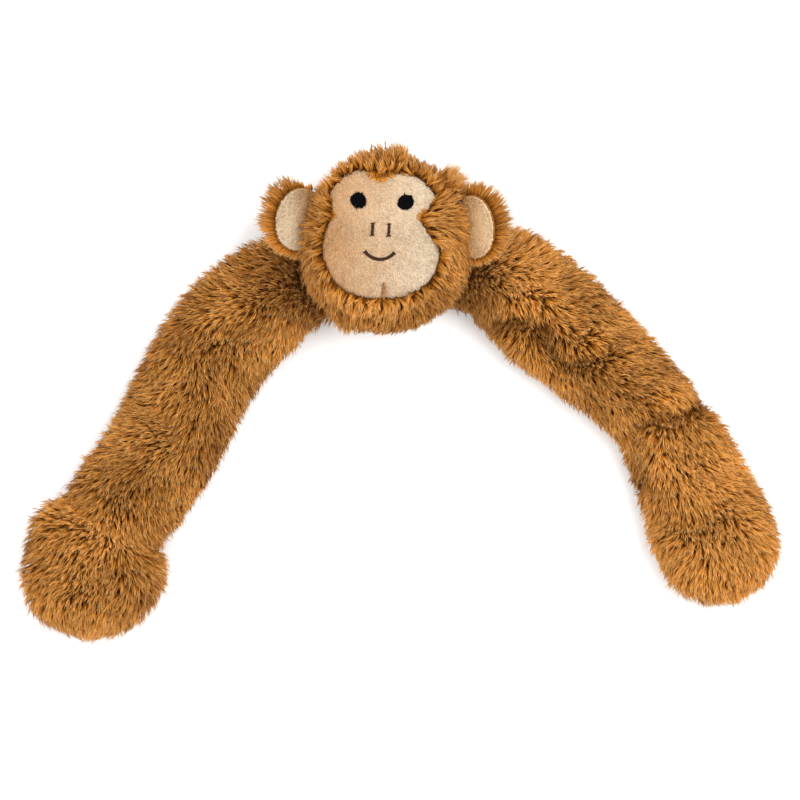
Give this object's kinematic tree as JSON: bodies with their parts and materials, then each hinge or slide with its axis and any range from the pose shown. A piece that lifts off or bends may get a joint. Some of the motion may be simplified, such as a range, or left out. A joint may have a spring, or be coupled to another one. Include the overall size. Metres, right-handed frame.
{
  "type": "stuffed monkey",
  "caption": "Stuffed long-pile monkey: round head with a short-pile face and ears, sewn on the middle of a sleeve that forms two very long limp arms ending in round paws.",
  "frame": {"origin": "middle of the span on the ground, below the box of the monkey lying on its back", "axes": "+X across the span of the arms, towards the arm on the right as the face is looked at, +Y towards the crown, +Z out of the face"},
  "size_m": [0.4984, 0.3198, 0.0969],
  "materials": {
    "fur": "long golden-brown polyester pile, combed in tufts, matt with a soft sheen",
    "velour": "short peach velour, matt",
    "filling": "loose white polyester fibre",
    "eye_thread": "black satin-stitch thread, slight gloss",
    "face_thread": "dark brown satin-stitch thread, slight gloss"
  },
  "bodies": {
    "head": {"head_front_cover": "fur", "head_back_cover": "fur", "face_patch": "velour", "head_filling": "filling", "eye_left": "eye_thread", "nostril_left": "face_thread", "eye_right": "eye_thread", "nostril_right": "face_thread", "mouth": "face_thread", "yoke_front_panel": "fur", "yoke_back_panel": "fur", "yoke_filling": "filling"},
    "ear_left": {"ear_left_back": "fur", "ear_left_lining": "velour"},
    "ear_right": {"ear_right_back": "fur", "ear_right_lining": "velour"},
    "shoulder_left": {"shoulder_left_front_panel": "fur", "shoulder_left_back_panel": "fur", "shoulder_left_filling": "filling"},
    "upper_arm_left": {"upper_arm_left_front_panel": "fur", "upper_arm_left_back_panel": "fur", "upper_arm_left_filling": "filling"},
    "forearm_left": {"forearm_left_front_panel": "fur", "forearm_left_back_panel": "fur", "forearm_left_filling": "filling"},
    "paw_left": {"paw_left_front_panel": "fur", "paw_left_back_panel": "fur", "paw_left_filling": "filling"},
    "shoulder_right": {"shoulder_right_front_panel": "fur", "shoulder_right_back_panel": "fur", "shoulder_right_filling": "filling"},
    "upper_arm_right": {"upper_arm_right_front_panel": "fur", "upper_arm_right_back_panel": "fur", "upper_arm_right_filling": "filling"},
    "forearm_right": {"forearm_right_front_panel": "fur", "forearm_right_back_panel": "fur", "forearm_right_filling": "filling"},
    "paw_right": {"paw_right_front_panel": "fur", "paw_right_back_panel": "fur", "paw_right_filling": "filling"}
  },
  "joints": [
    {"name": "swing_left", "type": "hinge", "parent": "head", "child": "shoulder_left", "pos_m": [-0.08406, 0.07132, 0.021], "axis": [0, 0, -1], "range_deg": [-20, 50]},
    {"name": "lift_left", "type": "hinge", "parent": "shoulder_left", "child": "upper_arm_left", "pos_m": [-0.11404, 0.04336, 0.021], "axis": [-0.8829, 0.4695, 0], "range_deg": [-45, 60]},
    {"name": "elbow_left", "type": "hinge", "parent": "upper_arm_left", "child": "forearm_left", "pos_m": [-0.1563, -0.0361, 0.021], "axis": [-0.8387, 0.5446, 0], "range_deg": [-45, 60]},
    {"name": "wrist_left", "type": "hinge", "parent": "forearm_left", "child": "paw_left", "pos_m": [-0.20313, -0.10823, 0.021], "axis": [-0.9848, 0.1736, 0], "range_deg": [-45, 60]},
    {"name": "ear_fold_left", "type": "hinge", "parent": "head", "child": "ear_left", "pos_m": [-0.06683, 0.1152, 0.053], "axis": [0.2229, 0.9749, 0], "range_deg": [-15, 75], "stiffness_Nm_per_rad": 0.05},
    {"name": "swing_right", "type": "hinge", "parent": "head", "child": "shoulder_right", "pos_m": [0.06585, 0.07656, 0.021], "axis": [0, 0, 1], "range_deg": [-20, 50]},
    {"name": "lift_right", "type": "hinge", "parent": "shoulder_right", "child": "upper_arm_right", "pos_m": [0.09656, 0.04939, 0.021], "axis": [-0.6691, -0.7431, 0], "range_deg": [-45, 60]},
    {"name": "elbow_right", "type": "hinge", "parent": "upper_arm_right", "child": "forearm_right", "pos_m": [0.16344, -0.01083, 0.021], "axis": [-0.891, -0.454, 0], "range_deg": [-45, 60]},
    {"name": "wrist_right", "type": "hinge", "parent": "forearm_right", "child": "paw_right", "pos_m": [0.20248, -0.08746, 0.021], "axis": [-0.9744, -0.225, 0], "range_deg": [-45, 60]},
    {"name": "ear_fold_right", "type": "hinge", "parent": "head", "child": "ear_right", "pos_m": [0.04774, 0.1102, 0.053], "axis": [0.137, -0.9906, 0], "range_deg": [-15, 75], "stiffness_Nm_per_rad": 0.05}
  ]
}
